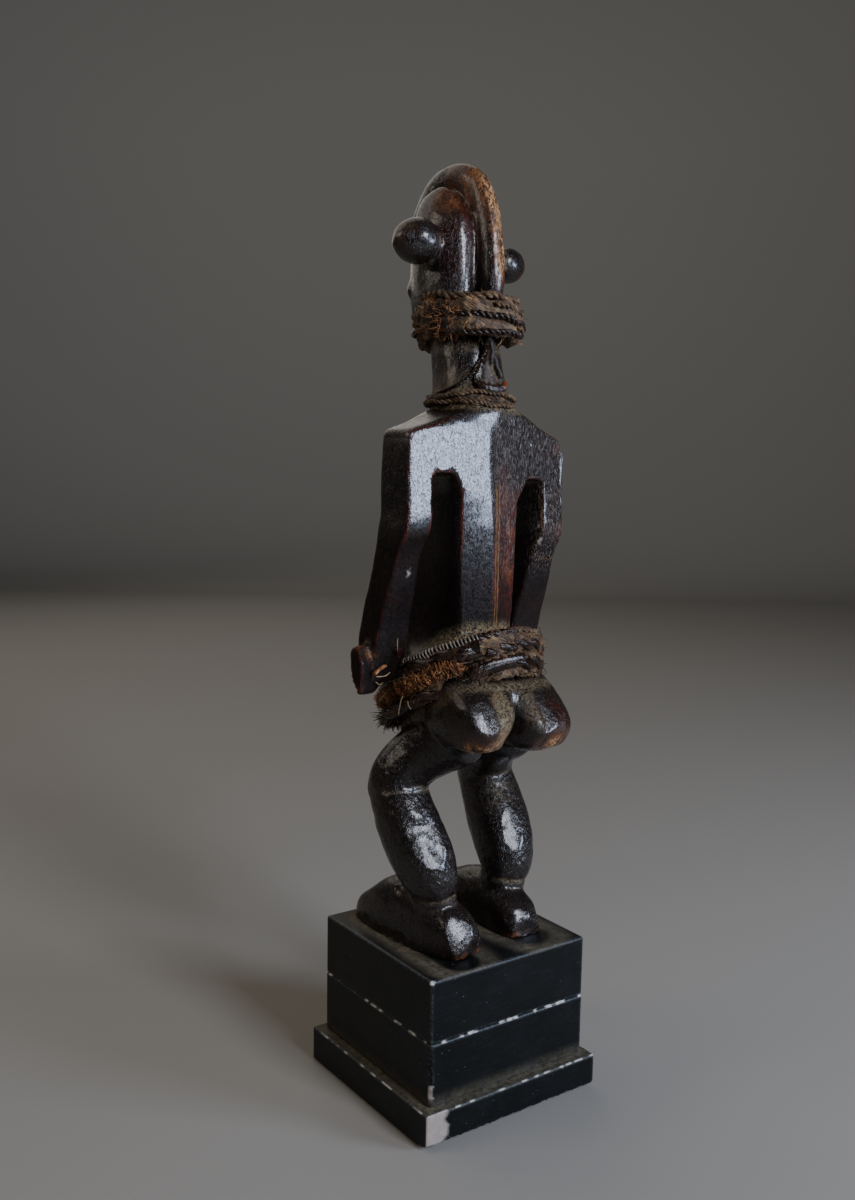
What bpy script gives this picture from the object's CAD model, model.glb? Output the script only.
import math

import bmesh
import bpy
import numpy as np
from mathutils import Matrix, Vector


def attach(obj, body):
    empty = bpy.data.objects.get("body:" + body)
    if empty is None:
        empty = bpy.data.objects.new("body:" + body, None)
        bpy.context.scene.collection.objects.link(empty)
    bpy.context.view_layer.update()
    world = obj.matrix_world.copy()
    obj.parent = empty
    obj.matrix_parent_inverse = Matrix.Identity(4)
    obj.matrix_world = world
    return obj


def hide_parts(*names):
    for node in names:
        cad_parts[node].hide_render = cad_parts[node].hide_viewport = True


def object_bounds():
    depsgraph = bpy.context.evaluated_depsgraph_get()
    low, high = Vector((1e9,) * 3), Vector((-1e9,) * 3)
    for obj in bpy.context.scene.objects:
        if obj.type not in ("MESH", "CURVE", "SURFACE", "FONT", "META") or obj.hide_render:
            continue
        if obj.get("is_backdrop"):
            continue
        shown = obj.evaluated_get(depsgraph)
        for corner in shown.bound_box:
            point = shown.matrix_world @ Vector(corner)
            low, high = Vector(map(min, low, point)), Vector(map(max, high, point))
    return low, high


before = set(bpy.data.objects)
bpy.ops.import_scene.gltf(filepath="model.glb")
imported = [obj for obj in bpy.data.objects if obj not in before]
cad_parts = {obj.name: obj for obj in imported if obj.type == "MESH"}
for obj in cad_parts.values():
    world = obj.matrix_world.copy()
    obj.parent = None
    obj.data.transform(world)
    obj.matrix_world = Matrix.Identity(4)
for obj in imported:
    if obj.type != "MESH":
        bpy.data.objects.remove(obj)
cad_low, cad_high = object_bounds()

# The view. The camera stands behind the figure's left shoulder, a little above its middle and
# tipped down by about seven degrees. Its place was solved from the corners of the plinth.
VIEW_AZIMUTH, VIEW_PITCH, VIEW_ROLL = (math.radians(a) for a in (35.49, 7.21, 0.90))
CAMERA_PLACE = (0.4068, 0.5390, 0.3747)
level = Vector((-math.sin(VIEW_AZIMUTH), -math.cos(VIEW_AZIMUTH), 0))
side = Vector((-math.cos(VIEW_AZIMUTH), math.sin(VIEW_AZIMUTH), 0))
ahead = level * math.cos(VIEW_PITCH) - Vector((0, 0, 1)) * math.sin(VIEW_PITCH)
above = Vector((0, 0, 1)) * math.cos(VIEW_PITCH) + level * math.sin(VIEW_PITCH)
camera_x = side * math.cos(VIEW_ROLL) + above * math.sin(VIEW_ROLL)
camera_y = above * math.cos(VIEW_ROLL) - side * math.sin(VIEW_ROLL)
camera_data = bpy.data.cameras.new("camera")
camera_data.sensor_width = 36
camera_data.lens = 35.33
camera_data.clip_start = 0.01
camera = bpy.data.objects.new("camera", camera_data)
bpy.context.scene.collection.objects.link(camera)
turned = Matrix((camera_x, camera_y, -ahead)).transposed().to_4x4()
camera.matrix_world = Matrix.Translation(CAMERA_PLACE) @ turned
bpy.context.scene.camera = camera


# The studio. A pale matt floor that curves up far behind the object, a soft window light and a
# bright pane on the camera's right, two weak fills, and a wash on the curve behind the figure.
def colour(text):
    """A linear colour from an sRGB hex value."""
    parts = [int(text[k:k + 2], 16) / 255 for k in (1, 3, 5)]
    return [c / 12.92 if c <= 0.04045 else ((c + 0.055) / 1.055) ** 2.4 for c in parts] + [1]


def add(tree, kind, *values, give=0, stops=(), **more):
    """Adds one node and gives one of its outputs. Values go to the sockets that show, in order; a
    keyword with a capital names a socket, any other is a setting. A value is plain or an output.
    Stops are the places and hex colours or plain numbers of a colour ramp."""
    node = tree.nodes.new(kind if "Node" in kind else "ShaderNode" + kind)
    for key in [key for key in more if key[0].islower()]:
        setattr(node, key, more.pop(key))
    sockets = list(zip([socket for socket in node.inputs if socket.enabled], values))
    sockets += [(node.inputs[key.replace("_", " ")], value) for key, value in more.items()]
    for socket, value in sockets:
        if isinstance(value, bpy.types.NodeSocket):
            tree.links.new(value, socket)
        else:
            socket.default_value = value
    for k, (position, shade) in enumerate(stops):
        elements = node.color_ramp.elements
        element = elements[k] if k < 2 else elements.new(position)
        element.position = position
        element.color = colour(shade) if isinstance(shade, str) else [shade] * 3 + [1]
    shown = [socket for socket in node.outputs if socket.enabled]
    return node.outputs[give] if isinstance(give, str) else shown[give] if shown else None


def new_material(name):
    """An empty node material and its tree."""
    material = bpy.data.materials.new(name)
    material.use_nodes = True
    material.node_tree.nodes.clear()
    return material, material.node_tree


def mesh_object(name, points, faces):
    """A smooth-shaded object at the origin from points in metres."""
    mesh = bpy.data.meshes.new(name)
    mesh.from_pydata([tuple(p) for p in points], [], faces)
    mesh.shade_smooth()
    made = bpy.data.objects.new(name, mesh)
    bpy.context.scene.collection.objects.link(made)
    return made


# Matt studio paint: no gloss, so that the floor stays plain
studio_paint, tree = new_material("matt_studio_paint")
add(tree, "OutputMaterial", add(tree, "BsdfPrincipled", Base_Color=colour("#97948e"),
                                Roughness=0.95, Specular_IOR_Level=0.1))

FLOOR_SIDES, FLAT_RADIUS, BEND_RADIUS, FLOOR_GAP = 72, 2.8, 1.6, 0.0002
bowl = [(r, 0) for r in (0, 0.4, 1, 2, FLAT_RADIUS)]
bowl += [(FLAT_RADIUS + BEND_RADIUS * math.sin(a), BEND_RADIUS - BEND_RADIUS * math.cos(a))
         for a in np.radians(range(10, 91, 10))]
bowl += [(4.4, 3.2), (4.4, 5.0)]
points, faces = [], []
for row, (r, z) in enumerate(bowl):
    for k in range(FLOOR_SIDES):
        a = 2 * math.pi * k / FLOOR_SIDES
        points.append((r * math.cos(a), r * math.sin(a), z - FLOOR_GAP))
        here, following = row * FLOOR_SIDES + k, row * FLOOR_SIDES + (k + 1) % FLOOR_SIDES
        if row < len(bowl) - 1:
            faces.append((here, here + FLOOR_SIDES, following + FLOOR_SIDES, following))
floor = mesh_object("studio_floor", points, faces)
floor.data.materials.append(studio_paint)
floor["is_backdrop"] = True

# Area lights that look at the figure's middle, or away from it, and don't show in the frame
LIT_POINT = Vector((0, 0, 0.30))
for name, azimuth, elevation, distance, size, power, tint, facing in (
        ("window_light", 95, 26, 1.5, (0.40, 0.48), 17, "#eaf0ff", 1),
        ("bright_pane", 125, 9.5, 1.5, (0.46, 0.36), 18, "#cbdaf6", 1),
        ("left_fill", 338, 32, 1.8, (0.8, 0.8), 5.5, "#fff1e0", 1),
        ("front_fill", 268, 40, 2.0, (2.4, 2.2), 12, "#fff6ea", 1),
        ("backdrop_wash", 234.5, 30, 1.9, (2.4, 0.5), 19, "#ffffff", -1)):
    light = bpy.data.lights.new(name, "AREA")
    light.shape = "RECTANGLE"
    light.size, light.size_y = size
    light.energy = power
    light.color = colour(tint)[:3]
    lamp = bpy.data.objects.new(name, light)
    a, e = math.radians(azimuth), math.radians(elevation)
    away = Vector((math.cos(a) * math.cos(e), math.sin(a) * math.cos(e), math.sin(e)))
    lamp.location = LIT_POINT + away * distance
    lamp.rotation_mode = "QUATERNION"
    lamp.rotation_quaternion = (away * facing).to_track_quat("Z", "Y")
    lamp.visible_camera = False
    bpy.context.scene.collection.objects.link(lamp)
world = bpy.data.worlds.new("world")
world.use_nodes = True
world.node_tree.nodes["Background"].inputs[0].default_value = colour("#f2eee8")
world.node_tree.nodes["Background"].inputs[1].default_value = 0.05
bpy.context.scene.world = world


# The carving. One piece of dense hardwood, cut with adze and knife, oiled, smoked and handled
# until it is almost black and glossy, with red-brown where edges have worn. Its forms are
# rounded sections on paths in millimetres from the plinth's top, joined into one skin.
STAND = (Matrix.Translation((-0.0007, 0, 0.093)) @ Matrix.Rotation(math.radians(6.2), 4, "Z")
         @ Matrix.Rotation(math.radians(-2.8), 4, "Y"))
turn, foot = np.array(STAND.to_3x3()), np.array(STAND.translation)
SKIN_STEP = 0.00131


def to_world(points):
    """Figure millimetres to metres in the object's frame."""
    return (np.asarray(points) * 0.001) @ turn.T + foot


def to_figure(points):
    return (np.asarray(points) - foot) @ turn * 1000


def smooth_rows(rows, steps):
    """Catmull-Rom rows between stations."""
    rows = np.asarray(rows, float)
    last = len(rows) - 1
    out = []
    for span in range(last):
        a, b, c, d = (rows[min(max(span + k, 0), last)] for k in (-1, 0, 1, 2))
        for t in np.arange(steps) / steps:
            out.append(b + 0.5 * t * (c - a + t * (2 * a - 5 * b + 4 * c - d
                                                   + t * (3 * (b - c) + d - a))))
    out.append(rows[last])
    return np.array(out)


def section(sides, power=2.0, shift=0.0):
    """A closed rounded outline one unit wide and deep; a higher power is squarer."""
    angle = 2 * np.pi * (np.arange(sides) + shift) / sides
    c, s = np.cos(angle), np.sin(angle)
    reach = (np.abs(c) ** power + np.abs(s) ** power) ** (-1 / power)
    return c * reach, s * reach


def tube(rings, looped=False):
    """Points and faces of a skin over rings of equal point count."""
    rows, sides = rings.shape[:2]
    points = rings.reshape(-1, 3)
    following = [(k + 1) % sides for k in range(sides)]
    faces = []
    for row in range(rows if looped else rows - 1):
        up = (row + 1) % rows
        faces += [(row * sides + k, row * sides + n, up * sides + n, up * sides + k)
                  for k, n in enumerate(following)]
    if not looped:
        bottom, top, last = len(points), len(points) + 1, (rows - 1) * sides
        points = np.vstack([points, rings[0].mean(0), rings[-1].mean(0)])
        for k, n in enumerate(following):
            faces += [(bottom, n, k), (top, last + k, last + n)]
    return points, faces


def limb(stations, steps=5, sides=40, squareness=2.2, ridges=0):
    """Rounded sections square to a path: each station is x, y, z and half sizes wide and deep."""
    count = len(stations)
    rows = smooth_rows(np.column_stack([stations, np.broadcast_to(squareness, count),
                                        np.broadcast_to(ridges, count)]), steps)
    centre = rows[:, :3]
    wide, deep, square, ridge = rows[:, 3:].T[..., None]
    along = np.gradient(centre, axis=0)
    along /= np.linalg.norm(along, axis=1)[:, None]
    across = np.array([1.0, 0, 0]) - along * along[:, :1]
    across /= np.linalg.norm(across, axis=1)[:, None]
    c, s = section(sides, square, 0.5)
    deep = deep * s + ridge * (s * ridge > 0) * (1 - np.abs(c))
    return tube(centre[:, None] + across[:, None] * (wide * c)[..., None]
                + np.cross(along, across)[:, None] * deep[..., None])


def boss(x, y, z, wide, deep, high, tilt=0):
    """An egg-like form; tilt turns it about the figure's depth axis, in degrees."""
    c, s = section(28)
    tilt = math.radians(tilt)
    lean = np.array([math.cos(tilt), 0, -math.sin(tilt)])
    rise = np.array([math.sin(tilt), 0, math.cos(tilt)])
    return tube(np.array([
        [x, y, z] + np.outer(wide * math.cos(a) * c, lean) + np.outer(deep * math.cos(a) * s, [0, 1, 0])
        + high * math.sin(a) * rise for a in np.radians(np.linspace(-80, 80, 13))]))


def ease(low, high, values):
    """A soft step from 0 at low to 1 at high."""
    t = np.clip((values - low) / (high - low), 0, 1)
    return t * t * (3 - 2 * t)


def flip(stations, sign):
    return [(sign * s[0], *s[1:]) for s in stations]


# Head: core, two lobes of hair and the crest between them
forms = [limb([(0, -30, 344, 14, 18), (0, -29, 352, 19, 23), (0, -30.5, 366, 23, 24),
               (0, -31.5, 386, 24.5, 24), (0, -33, 406, 22, 23.5), (0, -34.5, 420, 15, 19),
               (0, -34, 431, 7, 12)], sides=64)]
LOBE = [(14, -22, 350, 8, 13), (16, -23, 362, 10, 17.5), (16, -25, 384, 10.5, 20), (15.5, -27, 404, 10.4, 20),
        (14.4, -28.5, 417, 9, 17.5), (13.4, -26, 425.5, 6.4, 12), (13, -23.5, 430, 2.4, 4.5)]
for sign in (1, -1):
    lobe_points, lobe_faces = limb(flip(LOBE, sign), squareness=2.5)
    lobe_points[:, 0] -= sign * 0.24 * np.clip(lobe_points[:, 1] + 25, 0, None)
    forms.append((lobe_points, lobe_faces))
BOW = [(-1, 356), (0.5, 376), (-2, 398), (-6, 416), (-14.5, 432), (-24, 438.5), (-34, 440), (-46, 437),
       (-56, 425), (-59.5, 411), (-56, 398)]
bow_sizes = [(3, 3)] + [(6.8, 8.4)] * (len(BOW) - 2) + [(3, 3)]
forms.append(limb([(0, *at, *size) for at, size in zip(BOW, bow_sizes)], squareness=2.3))

# The two knobs stand straight out of the lobes; the right one is smaller and lower
KNOB = [(20, 0.45), (26, 0.62), (28.4, 0.81), (31, 0.925), (34.5, 0.993), (38.5, 0.975), (42.5, 0.86),
        (46, 0.66), (48.6, 0.40), (50, 0.18), (50.4, 0.05)]
c, s = section(40)
for sign, radius, middle in ((1, 13, 397.5), (-1, 10.6, 395.5)):
    forms.append(tube(np.array([np.column_stack([
        np.full(40, sign * x), -22 - 0.1 * (x - 20) + radius * share * c, middle + radius * share * s,
    ]) for x, share in smooth_rows(KNOB, 4)])))

# Face: a calm plain one on even proportions, the eyes half way between chin and crown
forms.append(limb([
    (-19, -47.5, 393.5, 2, 2), (-15, -51.5, 396.2, 2.3, 2.4), (-9, -54.8, 397.4, 2.8, 2.6),
    (0, -56.2, 395.6, 2.8, 2.8), (9, -54.8, 397.4, 2.8, 2.6), (15, -51.5, 396.2, 2.3, 2.4),
    (19, -47.5, 393.5, 2, 2)], sides=20))
forms.append(limb([
    (0, -53.5, 398, 2.4, 3), (0, -56.4, 390, 2.7, 3.2), (0, -57.8, 383, 3.3, 3.8),
    (0, -58.2, 378.5, 4.2, 4.4), (0, -56, 374.5, 4.2, 3.2)], sides=24))
for sign in (1, -1):
    forms.append(boss(sign * 3.9, -55.2, 377.2, 2.6, 3.2, 2.5))
    forms.append(boss(sign * 10, -50.6, 387.2, 6.2, 4.6, 3.7, tilt=sign * 4))
    forms.append(boss(sign * 13.5, -45.5, 376, 7.5, 7, 8))
for half_lip in (
        [(8, -50, 367.6, 1, 1), (4, -54.4, 368, 2, 1.9), (0, -55.4, 367.6, 2.1, 1.8)],
        [(6.5, -50, 364.4, 1, 1), (3, -53.2, 363.7, 2, 1.9), (0, -53.8, 363.4, 2.3, 2.1)]):
    forms.append(limb(flip(half_lip, -1) + half_lip[-2::-1], sides=20))
forms.append(boss(0, -46, 356, 9.5, 7, 6))

# Neck and trunk: two flat planes meet in a low ridge down the back, and the belly swells
forms.append(limb([(0, -10, 294, 24, 17), (0, -10.5, 304, 22, 21.5), (0, -12.5, 320, 20.5, 20.5),
                   (0, -17, 338, 19.5, 19.5), (0, -22, 358, 19, 19)], sides=56))
TRUNK = [(0, 2, 102, 20, 14), (0, -4, 115, 31, 27), (0, -6, 128, 37, 34.5), (0, -5.5, 146, 37.5, 35.5),
         (0, -8, 162, 33, 33), (0.6, -11.2, 176, 23.4, 28.2), (0.6, -12, 196, 22.4, 26.6),
         (1.3, -11, 222, 23.1, 24.5), (1.9, -9, 248, 23.9, 21), (1.9, -9, 257, 24.6, 20.2),
         (1, -9, 268, 30.5, 19.5), (0, -9, 284, 36, 18)]
forms.append(limb(TRUNK, sides=96, squareness=[2.3, 2.3, 2.3, 2.3, 2.6, 5, 9, 12, 12, 12, 10, 8],
                  ridges=[0, 0, 0, 0, 0, 3, 4.2, 4.6, 4.6, 4.6, 4.6, 4.6]))

# Shoulders: a square yoke whose top falls from the neck to the corners, ridged at the back
YOKE = [(61, 288, 6.5, -14), (59, 291, 7.5, -16), (42, 296.5, 9, -21), (24, 304, 10.8, -26),
        (6, 309, 12.6, -28), (0, 310, 13.2, -28.5)]
YOKE_FOOT, YOKE_RISE = 267, 2.4
yoke = smooth_rows([
    (x, (back + front) / 2, (top + YOKE_FOOT) / 2, (back - front) / 2, (top - YOKE_FOOT) / 2)
    for x, top, back, front in YOKE + [(-x, top + YOKE_RISE, *rest) for x, top, *rest in YOKE[-2::-1]]], 4)
c, s = section(64, 9, 0.5)
x, y, z, deep, high = yoke.T[..., None]
forms.append(tube(np.stack([x + 0 * c, y + deep * c, z + high * s], -1)))

# Arms: upright, then bent forward to squared elbows, and level forearms to the cup
ELBOW = np.array([(-18, 166), (-17.6, 169.2), (-15.6, 170.6), (-11.4, 171.6), (-6.4, 163), (-5, 158),
                  (-3.8, 149), (-4, 145.2), (-7, 143.2), (-10, 145.6), (-14.5, 150.6), (-17, 157)])
FOREARM = smooth_rows([(59, -16, 155, 8, 8.6), (49, -27, 157, 7.4, 8.2), (37, -38, 162, 6.4, 7.4),
                       (26, -48, 168, 6, 8), (18, -55, 171, 5.4, 9)], 5)
CUP_Y = -55
for sign, outer, inward in ((1, 62, 0), (-1, 63.8, 2)):
    inner = 44
    middle, half = (inner + outer) / 2, (outer - inner) / 2
    arm = [(-0.5, -3.5, 284, 0, 12.5), (0, -3.2, 262, 0, 12.7), (0, -2.0, 245, 0, 12.6),
           (0.3, -2.6, 237.5, 0.5, 12.4), (0.5, -6, 223, 0.5, 10.4), (0.5, -9, 206, 1.5, 9.6),
           (0, -14, 186, 2.5, 9.4), (0, -16.5, 166, 3, 9), (0, -17, 150, 1, 8)]
    arm = [(middle + x, y, z, half + wider, deep) for x, y, z, wider, deep in arm]
    forms.append(limb(flip(arm, sign), sides=64, squareness=8))
    elbow_middle = ELBOW.mean(0)
    elbow = np.array([np.column_stack([np.full(len(ELBOW), sign * (x - inward)),
                                       (ELBOW - elbow_middle) * share + elbow_middle])
                      for x, share in ((57, 0.9), (60, 1), (74, 1), (75.2, 0.93))])
    x, y, z = np.moveaxis(elbow, -1, 0)
    y -= ease(-15, -8, y) * (0.34 * (75 - np.abs(x)) + 0.2 * np.clip(163 - z, 0, 9))
    forms.append(tube(elbow if sign < 0 else elbow[::-1]))
    c, s = section(32, 2.6)
    x, y, z, wide, high = FOREARM.T[..., None]
    forms.append(tube(np.stack([sign * (x + 0.66 * wide * c), y - 0.75 * wide * c, z + high * s], -1)))

    # Four fingers lie round the cup, and the thumb stands along its back
    c, s = section(16)
    for finger in range(4):
        rings = []
        for degrees, thick in smooth_rows([(8, 3.3), (40, 3), (70, 2.6), (90, 1.5)], 6):
            a = math.radians(degrees)
            out = np.array([math.cos(a), -math.sin(a) * 0.96, 0])
            ring = out * 18.2 + np.array([0, CUP_Y, 180 - finger * 5.4]) + np.outer(c, out * thick)
            ring[:, 2] += 2.65 * s
            rings.append(ring * [sign, 1, 1])
        forms.append(tube(np.array(rings)))
    forms.append(limb(flip([(19, -50, 172, 4, 4), (17.5, -44, 180, 3.6, 3.6), (14, -39.5, 187, 3, 3),
                            (12, -38.5, 191, 1.6, 1.6)], sign), sides=20))

# The cup: a thin-walled bowl on a short foot, hollow to its real depth
CUP = [(0.1, 152), (10.5, 152), (10.6, 153.5), (10, 156), (11.6, 158.5), (14.6, 161), (16.4, 166), (17, 171),
       (17.3, 179), (17.3, 187), (16.6, 194), (16, 197.4), (14.9, 198), (13.9, 197.2), (13.8, 190),
       (13.8, 178), (12, 171), (9, 169), (0.1, 168)]
c, s = section(56)
forms.append(tube(np.array([np.column_stack([r * c, CUP_Y + r * s, np.full(56, z)]) for r, z in CUP])))

# Bent legs: pointed buttocks, thighs, full calves and long flat feet
for sign in (1, -1):
    drop, shift, end, lift = (2.5, -2.4, 38.6, 0) if sign < 0 else (0, 1.6, 39.2, 4)
    seat = [(17, 8, 141, 20, 21), (19.5 + shift, 24, 136.5, 20, 21.5)]
    if sign > 0:
        seat += [(20.5 + 2.4 * shift, 37, 132, 19, 18), (21 + 3.2 * shift, 44.6, 128, 15.6, 14.2),
                 (21.5 + 3.2 * shift, 49.4, 124.6, 11, 10), (21.5 + 3.2 * shift, 51.6, 123, 6.5, 5.5)]
    else:
        seat += [(20.5 + shift, 37, 132 - drop, 19.5, 18), (21 + shift, 45.5, 128 - drop, 18, 14.2),
                 (21.5 + shift, 51, 124.6 - drop, 14, 10), (21.5 + shift, 53.4, 123 - drop, 8, 5.5)]
    for squareness, stations in (
            (3.4, seat),
            (2.3, [(18, 20, 124, 18, 19), (22.5, 5, 115.5, 17, 18.5), (28.5, -8, 105.5, 15.8, 17),
                   (34, -16, 94, 16.3, 16.5), (35.5, -17.5, 84, 16 if sign > 0 else 15, 16.5),
                   (35.5, -16, 76, 13, 14)]),
            (2.3, [(35.5, -17, 93, 13, 14), (35.5, -15, 83, 16, 16.5), (35.5, -9.5, 72, 17, 17.5),
                   (34.5, -2, 60, 17.5, 18.5), (32.5, 5.5, 48, 17, 18), (30.5, 10.5, 37, 15, 15.5),
                   (28.5, 11.5, 28, 12.5, 12.5), (27, 11, 18, 12, 12.5)]),
            (2.7, [(23.6, end, 8, 7, 4.6), (23.8, end - 1.5, 8, 10.6, 8.2), (24.2, end - 7, 7, 13, 15),
                   (25, 22, 5.2, 14, 21.5), (27, 12, 4, 14.5, 26), (27.5, -6, 3, 14.5, 27 + lift),
                   (27, -24, 1, 14.5, 23.5 + lift), (25, -40, 0, 13.5, 18), (23, -48, 0, 12, 13),
                   (22, -53, 0, 8, 8)])):
        forms.append(limb(flip(stations, sign), sides=48, squareness=squareness))
forms.append(limb([(1.5, 18, 150, 14, 14), (2, 29, 139, 12, 14), (2.5, 35, 134, 9, 10)], sides=32))


def applied(source, name):
    """The evaluated mesh of an object as a new plain object; the source is removed."""
    graph = bpy.context.evaluated_depsgraph_get()
    mesh = bpy.data.meshes.new_from_object(source.evaluated_get(graph))
    mesh.name = name
    mesh.shade_smooth()
    bpy.data.objects.remove(source)
    made = bpy.data.objects.new(name, mesh)
    bpy.context.scene.collection.objects.link(made)
    return made


def read(thing, what="points"):
    """The points, normals or edges of a mesh, one row each."""
    mesh = thing.data
    source, key, width, kind = {
        "points": (mesh.vertices, "co", 3, np.float32),
        "normals": (mesh.vertex_normals, "vector", 3, np.float32),
        "edges": (mesh.edges, "vertices", 2, np.int32)}[what]
    values = np.zeros(len(source) * width, kind)
    source.foreach_get(key, values)
    return values.reshape(-1, width).astype(float if kind is np.float32 else kind)


def write_points(thing, values):
    thing.data.vertices.foreach_set("co", np.asarray(values, np.float32).ravel())
    thing.data.update()


def averaged(values, edges, rounds, share=0.5):
    """Relaxes values over the mesh's edges."""
    flat = values.reshape(len(values), -1)
    count = np.bincount(edges.ravel(), minlength=len(flat)).astype(float)[:, None]
    for _ in range(rounds):
        total = np.column_stack([
            np.bincount(edges[:, 0], column[edges[:, 1]], len(flat))
            + np.bincount(edges[:, 1], column[edges[:, 0]], len(flat)) for column in flat.T])
        flat = flat * (1 - share) + share * total / np.maximum(count, 1)
    return flat.reshape(values.shape)


def skinned(name, shapes, step, rounds):
    """One voxel skin over overlapping forms in figure millimetres, relaxed a little."""
    points, faces, start = [], [], 0
    for shape_points, shape_faces in shapes:
        points.append(to_world(shape_points))
        faces += [tuple(start + k for k in face) for face in shape_faces]
        start += len(shape_points)
    rough = mesh_object(name + "_forms", np.vstack(points), faces)
    remesh = rough.modifiers.new("skin", "REMESH")
    remesh.mode = "VOXEL"
    remesh.voxel_size = step
    made = applied(rough, name)
    write_points(made, averaged(read(made), read(made, "edges"), rounds))
    return made


def store(thing, **values):
    """Keeps one number per point and name for the materials to read."""
    for name, numbers in values.items():
        attribute = thing.data.attributes.new(name, "FLOAT", "POINT")
        attribute.data.foreach_set("value", np.asarray(numbers, np.float32))


def near_line(where, line):
    """Distance from each point to a line of straight runs."""
    best = np.full(len(where), 1e9)
    line = np.asarray(line, float)
    for a, b in zip(line[:-1], line[1:]):
        run = b - a
        t = np.clip((where - a) @ run / max(run @ run, 1e-9), 0, 1)
        best = np.minimum(best, np.linalg.norm(where - a - t[:, None] * run, axis=1))
    return best


def bumps(where, scale, seed):
    """Smooth noise from -1 to 1 with bumps about one scale apart."""
    grid = np.random.default_rng(seed).uniform(-1, 1, (32, 32, 32))
    q = where / scale + 500.0
    base = np.floor(q).astype(int)
    t = q - base
    t = t * t * (3 - 2 * t)
    total = np.zeros(len(q))
    for corner in range(8):
        pick = np.array([corner & 1, corner >> 1 & 1, corner >> 2 & 1])
        i, j, k = ((base + pick) % 32).T
        total += np.prod(np.where(pick, t, 1 - t), axis=1) * grid[i, j, k]
    return total


def nearest(values, targets, count):
    """Indexes of and distances to the nearest few targets."""
    picks, gaps = [], []
    square = (targets ** 2).sum(1)
    for start in range(0, len(values), 4000):
        block = values[start:start + 4000]
        far = (block ** 2).sum(1)[:, None] + square - 2 * block @ targets.T
        pick = np.argpartition(far, count, axis=1)[:, :count]
        gap = np.take_along_axis(far, pick, 1)
        order = np.argsort(gap, axis=1)
        picks.append(np.take_along_axis(pick, order, 1))
        gaps.append(np.sqrt(np.maximum(np.take_along_axis(gap, order, 1), 0)))
    return np.vstack(picks), np.vstack(gaps)


# One skin over all the forms; the arrays x, y and z are views of place and change with it
figure = skinned("carved_figure", forms, SKIN_STEP, 3)
edges = read(figure, "edges")
place = to_figure(read(figure))
x, y, z = place.T
normal = read(figure, "normals") @ turn

# Adze cuts: the skin is parted into small cells of like slope, and each is drawn to its plane
CELLS, SLOPE_WEIGHT, STRETCH, DEEPEST_CUT = 1500, 9, np.array([1, 1, 0.62]), 1.4
face_zone = ease(-36, -44, y) * ease(346, 352, z) * ease(404, 399, z) * ease(24, 20, np.abs(x))
cup_zone = ease(24, 21, np.hypot(x, y - CUP_Y)) * ease(148, 151, z) * ease(202, 199, z)
features = np.column_stack([place * STRETCH, normal * SLOPE_WEIGHT])
seeds = features[np.random.default_rng(11).choice(len(features), CELLS, replace=False)]
for _ in range(3):
    owner = nearest(features, seeds, 1)[0][:, 0]
    count = np.maximum(np.bincount(owner, minlength=CELLS), 1)[:, None]
    seeds = np.column_stack([np.bincount(owner, column, CELLS) for column in features.T]) / count
pick, gap = nearest(features, seeds, 3)
cell_place = seeds[:, :3] / STRETCH
cell_normal = seeds[:, 3:] / np.maximum(np.linalg.norm(seeds[:, 3:], axis=1)[:, None], 1e-6)
weight = np.exp(-(gap - gap[:, :1]) / 0.8)
weight /= weight.sum(1)[:, None]
moved = np.zeros_like(place)
for k in range(3):
    away = ((place - cell_place[pick[:, k]]) * cell_normal[pick[:, k]]).sum(1)
    away = np.clip(away, -DEEPEST_CUT, DEEPEST_CUT)
    moved -= (weight[:, k] * away)[:, None] * cell_normal[pick[:, k]]
heel = ease(34, 24, z) * ease(8, 22, y)
body = ease(96, 110, z) * ease(345, 330, z)
strength = (0.14 + 0.06 * body + 0.25 * heel) * (1 - face_zone) * (1 - 0.85 * cup_zone)
place += moved * strength[:, None]

# The back is planed to two even faces that meet in a low ridge, turned outward more lower down
LEVELS = [184, 196, 205, 222, 240, 250, 260, 268, 284, 300]
BACK_AT = [18.9, 18.6, 18.3, 17.6, 16.8, 16.1, 15.3, 14.6, 13.7, 13.1]
FALL_AT = [0.27, 0.26, 0.25, 0.22, 0.18, 0.15, 0.11, 0.11, 0.11, 0.11]
MIDDLE_AT = ([184, 205, 222, 240, 256, 268, 284, 300], [1, 0.7, 1.6, 3, 4.2, 4.8, 5.5, 5])
aside = np.abs(x - np.interp(z, *MIDDLE_AT))
on_arm = aside > 33
fall = np.where(on_arm, 0.11, np.interp(z, LEVELS, FALL_AT))
planed = ease(173, 181, z) * ease(301, 291, z) * ease(0.5, 0.8, normal[:, 1])
planed *= ease(67, 64, np.abs(x)) * np.where(on_arm, ease(226, 244, z), 1)
y += planed * np.clip(np.interp(z, LEVELS, BACK_AT) - fall * aside - y, -2.5, 2.5)

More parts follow.
